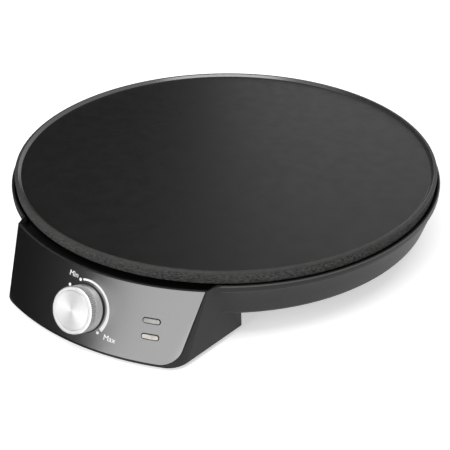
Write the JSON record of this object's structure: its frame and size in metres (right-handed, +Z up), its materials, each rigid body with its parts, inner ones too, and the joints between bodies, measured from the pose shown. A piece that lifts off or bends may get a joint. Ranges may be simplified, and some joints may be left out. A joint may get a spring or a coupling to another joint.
{
  "type": "electric crepe maker",
  "caption": "Round electric crepe maker: a flat lipped griddle plate on a shallow bowl base, with a leaning front control pod that carries a turned thermostat knob and indicator lamps.",
  "frame": {"origin": "on the round plate's axis, on the plane that the rubber feet stand on", "axes": "+Z up, along the plate's axis; -Y towards the control pod and the user; +X to the user's right"},
  "size_m": [0.306, 0.3374, 0.0502],
  "materials": {
    "nonstick_aluminium": "black non-stick coating, satin on the cooking surface, coarse on the cast side wall",
    "black_plastic": "fine matt moulding texture",
    "fascia_metal": "smooth satin metal",
    "knob_metal": "satin with a fine knurl",
    "spun_cap": "spun face with fine circular marks",
    "dark_trim": "smooth dark plastic",
    "clear_lens": "clear moulded plastic",
    "neon_glass": "small clear glass lamp",
    "heater_steel": "heat-darkened tube steel",
    "ceramic": "unglazed white ceramic",
    "plated_steel": "bright zinc plating",
    "screw_steel": "zinc-plated screw steel",
    "tin_plate": "aluminised sheet",
    "copper": "bare drawn copper",
    "brown_resin": "moulded resin",
    "white_plastic": "heat-resistant moulding",
    "natural_rubber": "matt black rubber"
  },
  "bodies": {
    "body": {"griddle_plate": "nonstick_aluminium", "heating_element": "heater_steel", "element_insulators": "ceramic", "element_tabs": "plated_steel", "heat_shield": "tin_plate", "plate_standoffs": "plated_steel", "plate_screws": "screw_steel", "housing": "black_plastic", "fascia_panel": "fascia_metal", "dial_ring": "dark_trim", "power_lamp_lens": "clear_lens", "ready_lamp_lens": "clear_lens", "lamp_holder": "white_plastic", "power_neon": "neon_glass", "ready_neon": "neon_glass", "holder_screws": "screw_steel", "thermostat_body": "brown_resin", "thermostat_nut": "plated_steel", "nut_washer": "plated_steel", "capillary_tube": "copper", "sensor_bulb": "copper", "bulb_clip": "tin_plate", "thermal_fuse": "plated_steel", "fuse_clip": "tin_plate", "clip_screws": "screw_steel", "terminal_block": "white_plastic", "block_screw": "screw_steel", "cord_gland": "natural_rubber", "pod_bottom_cover": "black_plastic", "cover_screws": "screw_steel", "front_foot_pads": "natural_rubber", "rear_foot_pads": "natural_rubber"},
    "knob": {"knob_body": "knob_metal", "knob_cap": "spun_cap", "hub_spring_ring": "plated_steel", "thermostat_shaft": "plated_steel"}
  },
  "joints": [
    {"name": "dial_turn", "type": "hinge", "parent": "body", "child": "knob", "pos_m": [0.0024, -0.16827, 0.02295], "axis": [0, 0.8878, -0.4602], "range_deg": [0, 184]}
  ]
}
